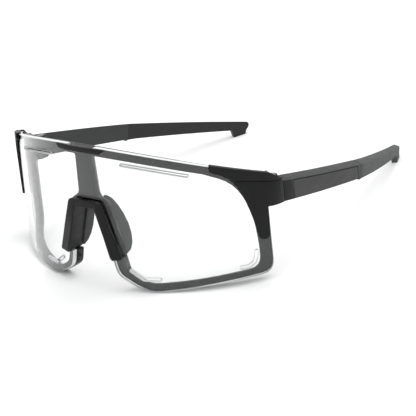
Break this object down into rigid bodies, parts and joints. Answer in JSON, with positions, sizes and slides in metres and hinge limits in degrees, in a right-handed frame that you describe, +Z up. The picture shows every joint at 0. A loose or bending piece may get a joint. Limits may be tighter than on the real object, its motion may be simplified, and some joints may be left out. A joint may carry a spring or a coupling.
{
  "type": "wraparound sport sunglasses",
  "caption": "Wraparound shield sunglasses: a clear one-piece lens clipped to a full-rim frame, soft nose pads, and folding temples with rubber tips.",
  "frame": {"origin": "on the surface the glasses stand on, under the middle of their overall box", "axes": "+Z up, +X towards the wearer's left, +Y from the lens back along the temples; the wearer looks along -Y"},
  "size_m": [0.1434, 0.1522, 0.0606],
  "materials": {
    "lens": "clear, polished",
    "rim": "satin black",
    "bracket": "satin black",
    "pad": "soft matt",
    "arm": "satin charcoal",
    "panel": "satin, a shade lighter than the arm",
    "tip": "soft matt",
    "steel": "turned",
    "brass": "plain"
  },
  "bodies": {
    "front": {"inner_frame": "rim", "shield_lens": "lens", "brow_clip": "bracket", "nose_bridge_clip": "bracket", "left_corner_bracket": "bracket", "left_nose_pad": "pad", "left_hinge_screw": "steel", "left_hinge_insert": "brass", "right_corner_bracket": "bracket", "right_nose_pad": "pad", "right_hinge_screw": "steel", "right_hinge_insert": "brass"},
    "left_temple": {"left_temple_arm": "arm", "left_temple_panel": "panel", "left_temple_tip": "tip"},
    "right_temple": {"right_temple_arm": "arm", "right_temple_panel": "panel", "right_temple_tip": "tip"}
  },
  "joints": [
    {"name": "left_temple_fold", "type": "hinge", "parent": "front", "child": "left_temple", "pos_m": [0.06495, -0.03081, 0.0354], "axis": [0, 0.1132, 0.9936], "range_deg": [0, 84]},
    {"name": "right_temple_fold", "type": "hinge", "parent": "front", "child": "right_temple", "pos_m": [-0.06495, -0.03081, 0.0354], "axis": [0, -0.1132, -0.9936], "range_deg": [0, 74]}
  ]
}
